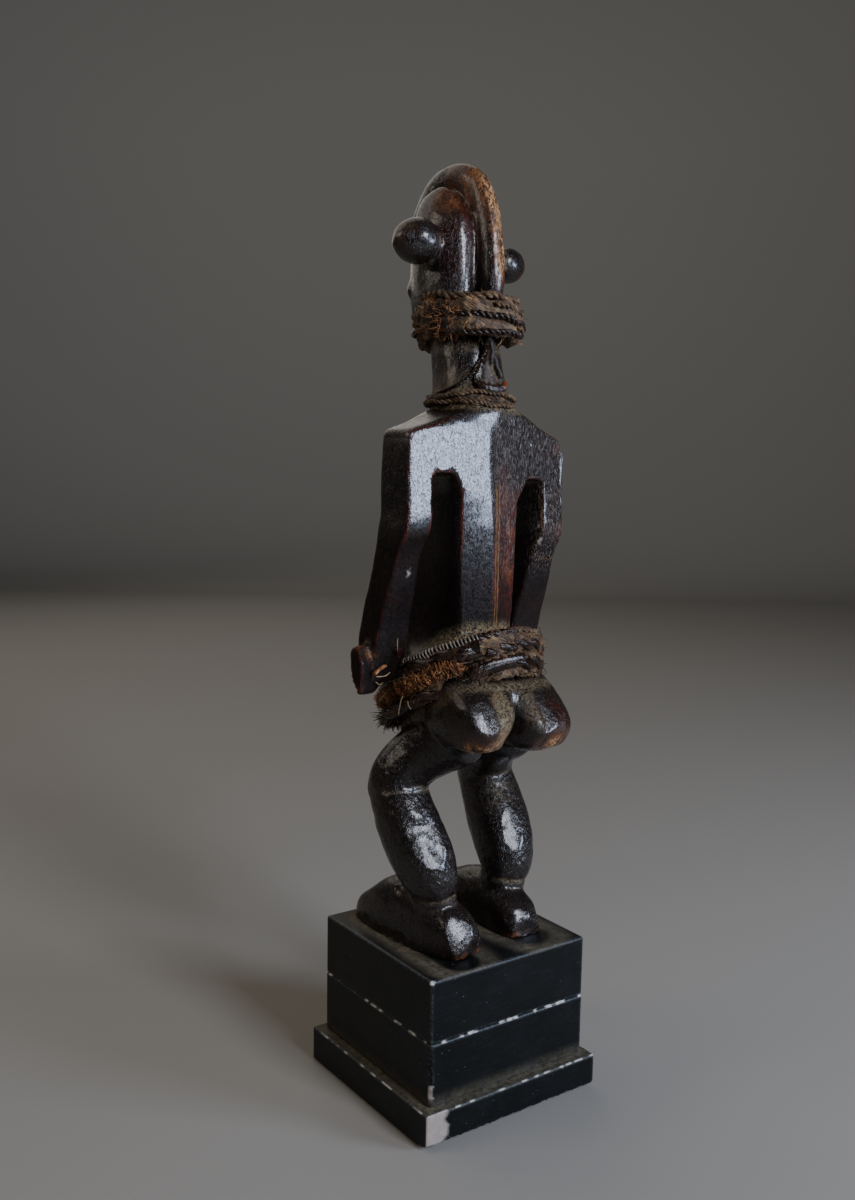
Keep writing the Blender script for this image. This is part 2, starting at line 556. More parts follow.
# Flat knife cuts on the heels and one long adze cut on the back of each calf and buttock. A zone
# is the least y, the least z, the z where the cut fades and the highest z.
LIT_WAY = (0.355, 0.817, 0.454)
HEEL, CALF, SEAT = (12, -6, 30, 27), (-10, 27, 70, 78), (26, 112, 150, 158)
for sign, zone, way, depth in (
        (1, CALF, LIT_WAY, 2.8), (-1, CALF, LIT_WAY, 1.3), (1, SEAT, LIT_WAY, 2.4),
        (-1, SEAT, LIT_WAY, 2.8), (1, HEEL, LIT_WAY, 4.6), (1, HEEL, (0.85, 0.42, 0.30), 1.2),
        (1, HEEL, (-0.42, 0.84, 0.34), 2.0), (1, HEEL, (-0.80, 0.50, 0.34), 1.2),
        (-1, HEEL, LIT_WAY, 1.4), (-1, HEEL, (-0.3, 0.84, 0.44), 2.6),
        (-1, HEEL, (-0.76, 0.58, 0.28), 1.8), (-1, HEEL, (0.80, 0.50, 0.34), 1.2)):
    way = np.array(way) / np.linalg.norm(way)
    least_y, lowest, fading, highest = zone
    close = (x * sign > 8) & (y > least_y) & (z > lowest) & (z < max(fading, highest))
    rise = place[close] @ way
    share = 0.82 * (ease(highest, fading, z[close]) if highest > fading else 1)
    place[close] -= (share * np.clip(rise - rise.max() + depth, 0, None))[:, None] * way

# The carving under the seat is blended smooth
under = ease(92, 100, z) * ease(121, 114, z) * ease(-2, 6, y)
place += under[:, None] * (averaged(place, edges, 40) - place)

# Small tool ripples and handling dents
even = (1 - 0.65 * ease(184, 200, z) * ease(310, 300, z)) * (1 - 0.7 * ease(30, 24, z) * ease(15, 22, y))
ripple = 0.15 * bumps(place * np.array([1, 1, 0.6]), 3.2, 5) + 0.25 * bumps(place, 7, 6)
place += normal * (ripple * (1 - 0.8 * face_zone) * even)[:, None]


# Cut lines: creases, toes, fingers and the lines of the face
def cut(line, width, depth, mark=None, near=None):
    """Presses a groove along a line and marks it; near limits it to faces that look one way."""
    line = np.asarray(line, float)
    box = np.all((place > line.min(0) - 3 * width) & (place < line.max(0) + 3 * width), axis=1)
    if near is not None:
        box &= normal @ np.asarray(near, float) > 0.1
    where = np.where(box)[0]
    away = near_line(place[where], line) / width
    place[where] -= normal[where] * (depth * np.exp(-away ** 2))[:, None]
    if mark is not None:
        mark[where] = np.maximum(mark[where], np.exp(-(away / 1.6) ** 2))


crease, groove = np.zeros(len(place)), np.zeros(len(place))
ANKLE = [(44, 6, 26.5), (41.5, 14.5, 26.5), (37.5, 21.5, 27.5), (31, 24.5, 28.5), (24, 24, 29.5),
         (17, 19, 30), (13.5, 10, 29), (13.5, 0, 27), (18, -8, 26), (28, -11, 26), (38, -8, 26),
         (44, 0, 26.5), (44, 6, 26.5)]
KNEE = [(52, -14, 85.5), (50, -9, 86), (45, -1.5, 86.8), (38, 1.8, 86.8), (28, 0, 86.6), (22, -5, 86.4),
        (19, -12, 86)]
for sign in (1, -1):
    cut(flip(ANKLE, sign), 0.7, 1.4, crease)
    if sign > 0:
        cut(KNEE, 0.7, 1.1, crease)
    for toe in (33.5, 29.3, 25, 19.6):
        cut(flip([(toe - 1.2, -62, 2), (toe - 0.8, -54, 9), (toe, -44, 17), (toe + 0.6, -35, 22)], sign),
            1.1, 1.5, groove, (0, -0.5, 1))
    for k in range(3):
        finger_y = -14 + 3.2 * k
        cut(flip([(70, -17.5, 146.5 - 0.2 * k), (76, finger_y, 147), (75.6, finger_y, 142)], sign),
            0.7, 0.9, groove, (sign, 0, 0))
CLEFT = [(3, 34, 164), (3.4, 38, 156), (3.6, 42, 146), (3.8, 44, 136), (3.8, 42, 126), (3, 36, 117),
         (2, 28, 112)]
SEAT_CRACK = [(18, 42.6, 149.5), (23.5, 45, 146.5), (26.2, 47.4, 141), (25.6, 50, 133), (24, 51.5, 126)]
cut(CLEFT, 1.3, 2.4, crease)
flake = (ease(27, 25.4, x + 0.8 * bumps(place, 5, 32)) * ease(10, 12.5, x) * ease(119, 123, z)
         * ease(150, 146, z + 0.6 * x - 14) * ease(38, 41, y))
place -= normal * (0.9 * flake)[:, None]
cut(SEAT_CRACK, 0.6, 1.0, groove)
for sign in (1, -1):
    for line, width, depth in (
            ([(4.6, -55.5, 385.6), (10, -57, 384.9), (15.6, -53, 386)], 0.7, 0.7),
            ([(4.6, -55.5, 388.4), (7.5, -57, 390.6), (12, -56, 390.6), (15.8, -52, 388.4)], 0.7, 0.6),
            ([(5.8, -58, 380.2), (7.2, -56, 377.5), (6.4, -55, 374.4)], 0.8, 0.5)):
        cut(flip(line, sign), width, depth)
cut([(-8, -52, 365.7), (-4, -57, 366), (0, -58, 365.5), (4, -57, 366), (8, -52, 365.7)], 0.8, 0.9)

# Flat soles that stand on the plinth, just clear of it
SOLE_HEIGHT = 0.0933
world_place = to_world(place)
world_place[:, 2] = np.maximum(world_place[:, 2], SOLE_HEIGHT)
write_points(figure, world_place)

# Wear and dirt: high places rub to red and orange, hollows keep dust. Heights over the relaxed
# skin are in millimetres, and normals are the world's from here on.
normal = read(figure, "normals")
high = ((world_place - averaged(world_place, edges, 14)) * normal).sum(1) * 1000
high = averaged(high, edges, 2)
sharp = ((world_place - averaged(world_place, edges, 5)) * normal).sum(1) * 1000
place = to_figure(world_place)
x, y, z = place.T
left_right = np.abs(x)


def spots(*marks):
    """Round soft marks added up, each a place, a radius and an amount."""
    return sum(amount * np.exp(-(np.linalg.norm(place - at, axis=1) / radius) ** 2)
               for *at, radius, amount in marks)


edge_wear = ease(0.16, 0.42, sharp)
hollow = ease(0.10, 0.55, -high)
from_middle = np.hypot(x, y + 4.5)
over_belt = z - 151 - 0.48 * y
blotchy = bumps(place, 6, 31)
crest_top = ease(9, 6, left_right) * ease(398, 430, z) * ease(-46, -18, y)
crest_ridge = ease(6.4, 2.6, np.abs(x + 1.0)) * ease(368, 395, z) * ease(-12, -4, y)
sole_edge = ease(97.6, 95.2, world_place[:, 2] * 1000) * ease(24, 32, y)
worn = np.clip(
    0.6 * crest_top + 1.25 * crest_ridge + sole_edge * np.clip(0.15 + 1.3 * bumps(place, 4, 39), 0, 1)
    + spots((16, -20, 424, 9, 0.5), (47, -27, 403, 4.5, 0.55), (-45, -24, 396, 5, 0.5), (38, 45, 118, 6, 1.3),
            (22, 51, 119, 8, 1.6), (31, 48, 114.5, 6.5, 1.9), (21, 49.5, 114.5, 8, 2.1),
            (-20, 53, 116, 8.5, 1.9), (58, -23, 396, 6, 0.8), (50, -15, 404, 4, 0.6), (-50, -20, 392, 7, 0.8),
            (-57, 8, 287, 3.2, 0.55), (67, -9, 166, 3, 0.5), (72, -13, 170, 3, 0.2), (-13, 13, 214, 4, 0.6),
            (-11, 13.6, 256, 4.4, 0.6), (-14, 12, 236, 4, 0.4)), 0, 1)
arm_edges = edge_wear * ease(140, 160, z) * ease(312, 300, z)
back_face = (ease(2.4, 0.8, x) * ease(-26, -23, x) * ease(266, 250, z) * ease(170, 215, z)
             * ease(0.2, 0.6, normal[:, 1]))
lobes = ease(385, 402, z) * ease(5, 8, left_right) * ease(28, 24, left_right) * ease(-40, -25, y)
red = np.clip(arm_edges + 0.35 * edge_wear + 0.85 * back_face + 0.35 * lobes
              + spots((-60.7, 10.4, 240, 7, 0.55), (-4, 14, 268, 9, 0.35), (18, -6, 385, 10, 0.3),
                      (-22, 52, 138, 9, 0.4)), 0, 1)

# Dust lies in hollows and creases, above and under the belt, round the neck and on the scar
above_belt = ease(11, 3, np.abs(over_belt - 18.5 - 2 * blotchy)) * ease(-35, 5, y) * ease(44, 40, from_middle)
under_belt = ease(6.5, 0, np.abs(over_belt + 18 + 3 * blotchy)) * ease(-25, 5, y) * ease(62, 50, from_middle)
neck_foot = 0.9 * ease(8, 1, np.abs(z - 311)) * ease(26, 22, left_right)
neck_side = 0.45 * ease(330, 318, z) * ease(302, 308, z) * ease(22, 20, left_right)
dust = np.clip(0.6 * hollow * ease(345, 300, z) + crease * ease(-0.4, 0.5, bumps(place, 5, 33)) + above_belt
               + 0.6 * under_belt + neck_foot + neck_side + 0.5 * ease(5, 1, np.abs(z - 341)), 0, 1)
knob_base = ease(2.0, 0.8, np.abs(left_right - 27.3)) * ease(14.5, 12.5, np.hypot(y + 22.6, z - 397))
dust = np.maximum(dust, 0.8 * averaged(flake, edges, 2))
dust = np.maximum(dust, 0.85 * knob_base * ease(-0.6, 0.2, bumps(place, 3, 38)))
dust *= 1 - 0.8 * ease(-7, -12, x) * ease(100, 110, z) * ease(150, 141, z) * ease(20, 28, y)
dust = np.maximum(dust, 0.5 * ease(1, -3, x) * ease(-12, -6, x) * ease(36, 40, y) * ease(126, 136, z))
dust = np.maximum(dust, spots((-25, 6, 80, 9, 0.6)) * ease(-0.5, 0.6, bumps(place, 1.6, 35)))
fleck = np.clip(spots(
    (2, 0.5, 415, 1.4, 0.8), (1.6, -1.5, 404, 1.2, 0.8), (-44.2, 6.7, 241, 2.2, 1), (-45, 8, 232, 2.4, 1),
    (-45, 6.5, 226, 2, 1), (54, 7, 236, 1.0, 0.5), (41, 6, 264, 4, 0.7), (52, 2, 212, 1.2, 0.8)), 0, 1)
dull = np.maximum(ease(247, 224, z) * ease(38, 42, left_right) * ease(140, 150, z),
                  ease(262, 192, z) * ease(162, 172, z) * ease(38, 34, np.hypot(x, y + 9)))
hammered = (0.12 + 0.24 * ease(265, 235, z) + 0.6 * ease(125, 100, z)) * (1 - 0.7 * face_zone)
crack_at = np.interp(z, [182, 190, 210, 228, 246, 262], [-0.5, -0.8, -0.6, -0.3, -0.7, -0.4])
on_back = (y > 4) & (normal @ turn[:, 1] > 0.3) & (z > 172) & (z < 272)
store(figure, worn=worn, red=red, dust=dust, groove=groove, dull=dull,
      fleck=fleck * ease(0.05, 0.4, bumps(place, 1.3, 37)),
      scuffed=ease(3, -1, x - 0.03 * (z - 250)) * ease(-5, 2, y) * ease(205, 225, z) * ease(312, 300, z),
      hammered=hammered * (1 - 0.6 * ease(32, 24, z)),
      across=np.where(on_back, np.clip(x - crack_at, -6, 6), 6), crack_end=ease(264, 259, z))

# Oiled and smoked hardwood: almost black, glossy from handling, with fine open pores that
# run up the grain and break the sheen, red-brown and orange wood where the crust has worn
wood, tree = new_material("oiled_black_hardwood")
where = add(tree, "TexCoord", give="Object")
marks = {name: add(tree, "Attribute", attribute_name=name, give="Fac") for name in (
    "worn", "red", "dust", "groove", "fleck", "dull", "scuffed", "hammered", "across", "crack_end")}
fields = {}
for name, stretch, scale, detail, roughness in (
        ("grain", 0.14, 620, 5, 0.6), ("blotch", 1, 38, 4, 0.6), ("streaks", 0.22, 1500, 3, 0.6),
        ("pores", 0.5, 1400, 3, 0.6), ("scratches", 0.4, 560, 3, 0.6), ("mottle", 0.35, 170, 6, 0.7),
        ("fine_wear", 0.6, 950, 6, 0.75), ("scuffs", 0.24, 1450, 3, 0.5), ("wobble", 0.5, 260, 4, 0.6),
        ("torn", 0.3, 500, 3, 0.6), ("split", 0.2, 300, 3, 0.6), ("dirt", 1, 760, 6, 0.8),
        ("powder", 1, 1100, 3, 0.6)):
    stretched = add(tree, "Mapping", where, Scale=(1, 1, stretch))
    fields[name] = add(tree, "TexNoise", stretched, scale, detail, roughness)
pits = add(tree, "ValToRGB", fields["pores"], stops=[(0.35, 0.0), (0.46, 1.0)])
scratches = add(tree, "ValToRGB", fields["scratches"], stops=[(0.36, 0.0), (0.44, 1.0)])

# The crack: two thin lines side by side that waver, dark in the middle and torn at the lips
wobble = add(tree, "Math", fields["wobble"], 1.6, -0.8, operation="MULTIPLY_ADD")
gaps = [add(tree, "Math", add(tree, "Math", add(tree, "Math", marks["across"], apart), wobble),
            operation="ABSOLUTE") for apart in (0.0, 2.5)]
fields["gap"] = add(tree, "Math", *gaps, operation="MINIMUM")
torn = add(tree, "ValToRGB", fields["torn"], stops=[(0.36, 0.25), (0.56, 1.0)])
marks["torn"] = add(tree, "Math", marks["crack_end"], torn, operation="MULTIPLY")
split = add(tree, "ValToRGB", fields["split"], stops=[(0.4, 0.1), (0.6, 0.8)])
marks["split"] = add(tree, "Math", marks["groove"], split, operation="MULTIPLY")
fields["groove"] = marks["groove"]

# Each layer covers the last where its field says so, and a mark limits it to its places
bright = add(tree, "ValToRGB", marks["worn"], stops=[(0.55, 0.0), (1.0, 0.9)])
bright = add(tree, "Mix", bright, colour("#bd7536"), colour("#e6b078"), data_type="RGBA")
orange = add(tree, "ValToRGB", fields["mottle"], stops=[(0.42, 0.0), (0.62, 1.0)])
shades = {
    "red": add(tree, "ValToRGB", fields["streaks"], stops=[(0.38, "#280a06"), (0.66, "#6c2a19")]),
    "worn": add(tree, "Mix", orange, colour("#552812"), bright, data_type="RGBA"),
    "dust": add(tree, "ValToRGB", fields["powder"], stops=[(0.0, "#574936"), (1.0, "#b3a07c")])}
base = add(tree, "ValToRGB", fields["blotch"],
           stops=[(0.3, "#080504"), (0.55, "#120a08"), (0.75, "#21110c")])
cover = {}
for mark, field, stops, shade in (
        (None, "grain", [(0.45, 0.0), (0.68, 0.5)], "#2a1711"),
        ("red", "mottle", [(0.40, 0.1), (0.56, 1.0)], None),
        ("worn", "fine_wear", [(0.42, 0.0), (0.55, 1.0)], None),
        ("scuffed", "scuffs", [(0.53, 0.0), (0.64, 0.7)], "#776c64"),
        ("torn", "gap", [(0.3, 1.0), (0.62, 0.0)], "#a57c46"),
        ("crack_end", "gap", [(0.12, 1.0), (0.26, 0.0)], "#070303"),
        ("split", "groove", [(0.75, 1.0), (0.95, 0.0)], "#8a6038"),
        (None, "groove", [(0.8, 0.0), (0.97, 0.9)], "#040202"),
        ("dust", "dirt", [(0.44, 0.0), (0.55, 0.95)], None)):
    factor = add(tree, "ValToRGB", fields[field], stops=stops)
    if mark:
        factor = cover[mark] = add(tree, "Math", marks[mark], factor, operation="MULTIPLY")
    base = add(tree, "Mix", factor, base, colour(shade) if shade else shades[mark], data_type="RGBA")
base = add(tree, "Mix", marks["fleck"], base, colour("#cfc8ba"), data_type="RGBA")

# Pores, dirt and rubbed wood are matt; the bare oiled skin between them shines
matt = add(tree, "Math", marks["dull"], marks["groove"], operation="MAXIMUM")
rough_value = add(tree, "ValToRGB", pits, stops=[(0.0, 0.5), (0.8, 0.22)])
crust = add(tree, "Math", cover["dust"], cover["worn"])
for amount, share in ((crust, 0.35), (fields["blotch"], 0.08), (matt, 0.3)):
    rough_value = add(tree, "Math", amount, share, rough_value, operation="MULTIPLY_ADD", use_clamp=True)
shine = add(tree, "ValToRGB", pits, stops=[(0.0, 0.4), (1.0, 1.0)])
for amount, loss in ((cover["dust"], -0.85), (matt, -0.68)):
    left = add(tree, "Math", amount, loss, 1.0, operation="MULTIPLY_ADD")
    shine = add(tree, "Math", shine, left, operation="MULTIPLY")
height = 0.0
for field in (pits, fields["streaks"], scratches):
    height = add(tree, "Math", field, 0.5, height, operation="MULTIPLY_ADD")
bent = add(tree, "TexNoise", where, 260.0, 2.0, give="Color")
bent = add(tree, "Mix", 0.0035, where, bent, data_type="RGBA")
chatter = add(tree, "TexVoronoi", bent, 270.0)
chatter = add(tree, "Math", chatter, marks["hammered"], operation="MULTIPLY")
bumped = add(tree, "Bump", Height=chatter, Strength=0.85, Distance=0.0008)
bumped = add(tree, "Bump", Height=height, Strength=0.7, Distance=0.0004, Normal=bumped)
add(tree, "OutputMaterial", add(
    tree, "BsdfPrincipled", Base_Color=base, Roughness=rough_value, Normal=bumped, IOR=1.52,
    Coat_Roughness=0.15, Specular_IOR_Level=add(tree, "Math", shine, 0.5, operation="MULTIPLY"),
    Coat_Weight=add(tree, "Math", shine, 0.4, operation="MULTIPLY")))

# The finished skin is thinned to what one piece may hold; the flat faces lose the most points
thinner = figure.modifiers.new("thinner", "DECIMATE")
thinner.ratio = 0.79
figure = applied(figure, "carved_figure")
figure.data.materials.append(wood)
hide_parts("figure")
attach(figure, "root")


# The cords' fibre. Bark and raffia strips twisted by hand: dull brown with dusty beige in the
# lays, and a few darker strips polished by touch. The lines follow each strand's own length.
def fibre_material(name, dark, middle, light, dusting, gloss):
    made, tree = new_material(name)
    where = add(tree, "TexCoord", give="Object")
    along, across, fray = (add(tree, "Attribute", attribute_name=name, give="Fac")
                           for name in ("along", "round", "fray"))
    patches = add(tree, "TexNoise", where, 210, 5, 0.65)
    streak = add(tree, "TexNoise", where, 1500, 3, 0.6)

    # The noise is read on a cylinder: the strand's length, and the way round it
    turned = add(tree, "Math", along, 60.0, across, operation="MULTIPLY_ADD")
    turned = add(tree, "Math", turned, 2 * math.pi, operation="MULTIPLY")
    circle = [add(tree, "Math", add(tree, "Math", turned, operation=wave), 3.4, operation="MULTIPLY")
              for wave in ("COSINE", "SINE")]
    length = add(tree, "Math", along, 130.0, operation="MULTIPLY")
    lengthwise = add(tree, "CombineXYZ", length, *circle)
    sway = add(tree, "TexNoise", where, 330.0, 2.0, give="Color")
    lengthwise = add(tree, "Mix", 0.5, lengthwise, sway, data_type="RGBA")
    fibres = add(tree, "TexNoise", lengthwise, 2.0, 3, 0.55)
    powder = add(tree, "ValToRGB", add(tree, "TexNoise", where, 130, 6, 0.7),
                 stops=[(0.62 - dusting, 0.0), (0.80 - 0.5 * dusting, 0.8)])
    base = add(tree, "ValToRGB", fibres, stops=[(0.36, dark), (0.5, middle), (0.64, light)])
    for factor, shade in (
            (add(tree, "ValToRGB", patches, stops=[(0.38, 0.8), (0.58, 0.0)]), colour(dark)),
            (powder, add(tree, "ValToRGB", streak, stops=[(0.0, "#6b5840"), (1.0, "#a8926e")])),
            (add(tree, "Math", fray, 0.9, operation="MULTIPLY", use_clamp=True), colour("#0c0705"))):
        base = add(tree, "Mix", factor, base, shade, data_type="RGBA")
    height = add(tree, "Math", streak, 0.35, operation="MULTIPLY")
    height = add(tree, "Math", fibres, 1.4, height, operation="MULTIPLY_ADD")
    bumped = add(tree, "Bump", Height=height, Strength=0.9 if gloss > 0.3 else 0.35, Distance=0.0005)
    dullness = add(tree, "Math", powder, 0.5, gloss, operation="MULTIPLY_ADD", use_clamp=True)
    add(tree, "OutputMaterial", add(
        tree, "BsdfPrincipled", Base_Color=base, Roughness=dullness, Normal=bumped, IOR=1.48))
    return made


raffia = fibre_material("dusty_raffia_fibre", "#1c110a", "#563b28", "#b08d65", 0.13, 0.58)
bark_strip = fibre_material("handled_bark_strip", "#0c0705", "#24160f", "#54392a", 0.0, 0.2)
rust_fibre = fibre_material("rust_brown_fibre", "#3f1e0e", "#a86430", "#ecb47a", 0.0, 0.5)
smoke_black = fibre_material("smoke_black_cord", "#050303", "#0f0a07", "#23160f", 0.0, 0.42)
pale_thread = fibre_material("pale_whipping_thread", "#5a4e43", "#b5a590", "#efe6d6", 0.0, 0.4)
straw = fibre_material("dry_straw", "#8d7654", "#b59c74", "#d6c3a0", 0.0, 0.6)


# Two node trees serve every cord: one lays strands round a line, the other grows loose fibre
def new_tree(name, **sockets):
    """A Geometry Nodes tree with named inputs; gives the tree and what its inputs bring."""
    group = bpy.data.node_groups.new(name, "GeometryNodeTree")
    group.interface.new_socket("Geometry", in_out="OUTPUT", socket_type="NodeSocketGeometry")
    for label, kind in {"Geometry": "Geometry", **sockets}.items():
        group.interface.new_socket(label, in_out="INPUT", socket_type="NodeSocket" + kind)
    return group, group.nodes.new("NodeGroupInput").outputs


tree, given = new_tree(
    "strands_on_a_line", Points="Int", Strands="Int", Turns="Float", Spread="Float", Radius="Float",
    Flatness="Float", Unevenness="Float", Waver="Float", Sides="Int", Material="Material")
line = add(tree, "GeometryNodeResampleCurve", Curve=given["Geometry"], Count=given["Points"])
line = add(tree, "GeometryNodeSetCurveNormal", line, mode="Z_UP")
copies = add(tree, "GeometryNodeDuplicateElements", line, Amount=given["Strands"], domain="SPLINE")
factor = add(tree, "GeometryNodeSplineParameter", give="Factor")
length = factor.node.outputs["Length"]
phase = add(tree, "Math", copies.node.outputs["Duplicate Index"], given["Strands"], operation="DIVIDE")
phase = add(tree, "Math", factor, given["Turns"], phase, operation="MULTIPLY_ADD")
phase = add(tree, "Math", phase, 2 * math.pi, operation="MULTIPLY")
outward = add(tree, "GeometryNodeInputNormal")
upward = add(tree, "VectorMath", add(tree, "GeometryNodeInputTangent"), outward, operation="CROSS_PRODUCT")
reaches = [add(tree, "VectorMath", way, add(tree, "Math", phase, operation=wave), operation="SCALE")
           for way, wave in ((outward, "COSINE"), (upward, "SINE"))]
offset = add(tree, "VectorMath", add(tree, "VectorMath", *reaches), given["Spread"], operation="SCALE")
wander = add(tree, "TexNoise", Scale=420.0, Detail=1.0, give="Color")
wander = add(tree, "VectorMath", wander, (0.5, 0.5, 0.5), operation="SUBTRACT")
wander = add(tree, "VectorMath", wander, given["Waver"], operation="SCALE")
placed = add(tree, "GeometryNodeSetPosition", copies, Offset=add(tree, "VectorMath", offset, wander))
placed = add(tree, "GeometryNodeStoreNamedAttribute", placed, Name="along", Value=length, domain="POINT")
profile = add(tree, "GeometryNodeCurvePrimitiveCircle", Resolution=given["Sides"], Radius=given["Radius"])
squashed = add(tree, "CombineXYZ", given["Flatness"], 1.0, 1.0)
profile = add(tree, "GeometryNodeTransform", profile, Scale=squashed)
profile = add(tree, "GeometryNodeStoreNamedAttribute", profile, Name="round", Value=factor, domain="POINT")
lumps = add(tree, "Math", add(tree, "TexNoise", Scale=260.0, Detail=2.0), 0.5, operation="SUBTRACT")
lumps = add(tree, "Math", lumps, given["Unevenness"], 1.0, operation="MULTIPLY_ADD")
skin = add(tree, "GeometryNodeCurveToMesh", placed, profile, lumps, True)
skin = add(tree, "GeometryNodeRealizeInstances", add(tree, "GeometryNodeSetShadeSmooth", skin))
add(tree, "NodeGroupOutput", add(tree, "GeometryNodeSetMaterial", skin, Material=given["Material"]))
cord_tree = tree

tree, given = new_tree(
    "loose_fibre_on_a_surface", Density="Float", Shortest="Float", Longest="Float", Thickness="Float",
    Disorder="Float", Seed="Int", Material="Material")
mask = add(tree, "GeometryNodeInputNamedAttribute", "fray", data_type="FLOAT")
spread = add(tree, "GeometryNodeDistributePointsOnFaces", given["Geometry"], Seed=given["Seed"],
             Density=add(tree, "Math", mask, given["Density"], operation="MULTIPLY"))
bend = add(tree, "GeometryNodeCurveQuadraticBezier", 5, (0, 0, -0.08), (0.05, 0.1, 0.55), (0.5, -0.05, 0.85))
taper = add(tree, "Math", add(tree, "GeometryNodeSplineParameter", give="Factor"), 0.6, operation="MULTIPLY")
taper = add(tree, "Math", 1.0, taper, operation="SUBTRACT")
profile = add(tree, "GeometryNodeCurvePrimitiveCircle", Resolution=3, Radius=given["Thickness"])
one_fibre = add(tree, "GeometryNodeCurveToMesh", bend, profile, taper, True)
swing = add(tree, "FunctionNodeRandomValue", (-1, -1, -3.1416), (1, 1, 3.1416), Seed=given["Seed"],
            data_type="FLOAT_VECTOR")
level_swing = add(tree, "CombineXYZ", given["Disorder"], given["Disorder"], 1.0)
swing = add(tree, "VectorMath", swing, level_swing, operation="MULTIPLY")
facing = add(tree, "FunctionNodeRotateRotation", spread.node.outputs["Rotation"],
             add(tree, "FunctionNodeEulerToRotation", swing), rotation_space="LOCAL")
length = add(tree, "FunctionNodeRandomValue", given["Shortest"], given["Longest"],
             Seed=add(tree, "Math", given["Seed"], 7.0), data_type="FLOAT")
planted = add(tree, "GeometryNodeInstanceOnPoints", spread, Instance=one_fibre, Rotation=facing, Scale=length)
planted = add(tree, "GeometryNodeRealizeInstances", planted)
crimp = add(tree, "TexNoise", Scale=380.0, Detail=2.0, give="Color")
crimp = add(tree, "VectorMath", crimp, (0.5, 0.5, 0.5), operation="SUBTRACT")
crimp = add(tree, "VectorMath", crimp, 0.0022, operation="SCALE")
crimped = add(tree, "GeometryNodeSetPosition", planted, Offset=crimp)
cleared = add(tree, "GeometryNodeRemoveAttribute", crimped, Name="fray")
add(tree, "NodeGroupOutput", add(tree, "GeometryNodeSetMaterial", cleared, Material=given["Material"]))
fibre_tree = tree


def grown(source, name, group, **values):
    """Runs a node tree on an object and gives the plain mesh; the source is removed."""
    modifier = source.modifiers.new("nodes", "NODES")
    modifier.node_group = group
    for item in group.interface.items_tree:
        if item.in_out == "INPUT" and item.name in values:
            modifier[item.identifier] = values[item.name]
    return applied(source, name)


def cord(points, material, strands=2, lay=11.0, spread=1.0, radius=1.1, flat=1.0, looped=False, uneven=0.25,
         sides=8, per_turn=12, waver=0.3):
    """A twisted cord on a line in figure millimetres: lay is the length of one full twist."""
    points = np.asarray(points, float)
    closed = np.vstack([points, points[:1]]) if looped else points
    length = np.linalg.norm(np.diff(closed, axis=0), axis=1).sum()
    turns = round(length / lay) if looped else length / lay
    curve = bpy.data.curves.new("line", "CURVE")
    curve.dimensions = "3D"
    run = curve.splines.new("POLY")
    run.points.add(len(points) - 1)
    for k, point in enumerate(to_world(points)):
        run.points[k].co = (*point, 1)
    run.use_cyclic_u = looped
    line = bpy.data.objects.new("line", curve)
    bpy.context.scene.collection.objects.link(line)
    return grown(line, "cord", cord_tree, Points=int(max(turns * per_turn, len(points))), Strands=strands,
                 Turns=float(turns), Spread=spread / 1000, Radius=radius / 1000, Flatness=flat,
                 Unevenness=uneven, Waver=waver / 1000, Sides=sides, Material=material)


def joined(name, things):
    """Several meshes as one piece."""
    with bpy.context.temp_override(active_object=things[0], selected_editable_objects=things):
        bpy.ops.object.join()
    things[0].name = things[0].data.name = name
    return things[0]


def ring_points(centre_y, radius, height, start=0.0, stop=360.0, sway=0.0, seed=0, count=160, slope=0.0):
    """Points on a loop round the body; height may change with the turn in degrees."""
    parts = np.random.default_rng(seed).uniform(0, 2 * np.pi, 6)
    whole = abs(stop - start - 360) < 1e-6
    out = []
    for turn in np.linspace(start, stop, count, endpoint=not whole):
        a = math.radians(turn)
        waves = [math.sin(times * a + part) for times, part in zip((3, 7, 2, 5, 11), parts)]
        r = radius + sway * 0.5 * (waves[0] + waves[1])
        h = height(turn) if callable(height) else height
        h += sway * 0.5 * (waves[2] + waves[3] + 0.6 * waves[4])
        y = centre_y + r * math.sin(a)
        out.append((r * math.cos(a), y, h + slope * y))
    return out


def pad(name, line, half_out, half_up, material, relief, seed, fray, sides=26):
    """A matted band round the body: a soft section on a closed line, with lumps and hollows."""
    line = np.asarray(line, float)
    out = line - line.mean(0)
    out[:, 2] = 0
    out /= np.linalg.norm(out, axis=1)[:, None]
    c, s = section(sides, 2.6)
    rings = line[:, None] + out[:, None] * (half_out * c)[:, None] + np.outer(half_up * s, [0, 0, 1.0])
    flat = rings.reshape(-1, 3)
    push = (flat - np.repeat(line, sides, 0)) / max(half_out, half_up)
    lump = bumps(flat, 4.5, seed) + 0.7 * bumps(flat, 2.1, seed + 1) + 0.4 * bumps(flat, 1.1, seed + 2)
    flat = flat + push * (relief * lump)[:, None]
    points, faces = tube(flat.reshape(rings.shape), looped=True)
    made = mesh_object(name, to_world(points), [face[::-1] for face in faces])
    made.data.materials.append(material)
    length = np.linalg.norm(np.diff(line, axis=0), axis=1).sum() / 1000
    store(made, along=np.repeat(np.arange(len(line)) / len(line), sides) * length,
          round=np.tile(6 * np.arange(sides) / sides, len(line)), fray=fray(points))
    return made


def fringe(surface, name, material, density, shortest, longest, thickness, disorder, seed):
    """Loose fibres on a copy of a surface, thick where its fray value is high."""
    copy = surface.copy()
    copy.data = surface.data.copy()
    bpy.context.scene.collection.objects.link(copy)
    return grown(copy, name, fibre_tree, Density=density * 1e6, Shortest=shortest / 1000,
                 Longest=longest / 1000, Thickness=thickness, Disorder=disorder, Seed=seed, Material=material)


def degrees_round(points, centre_y):
    return np.degrees(np.arctan2(points[:, 1] - centre_y, points[:, 0]))


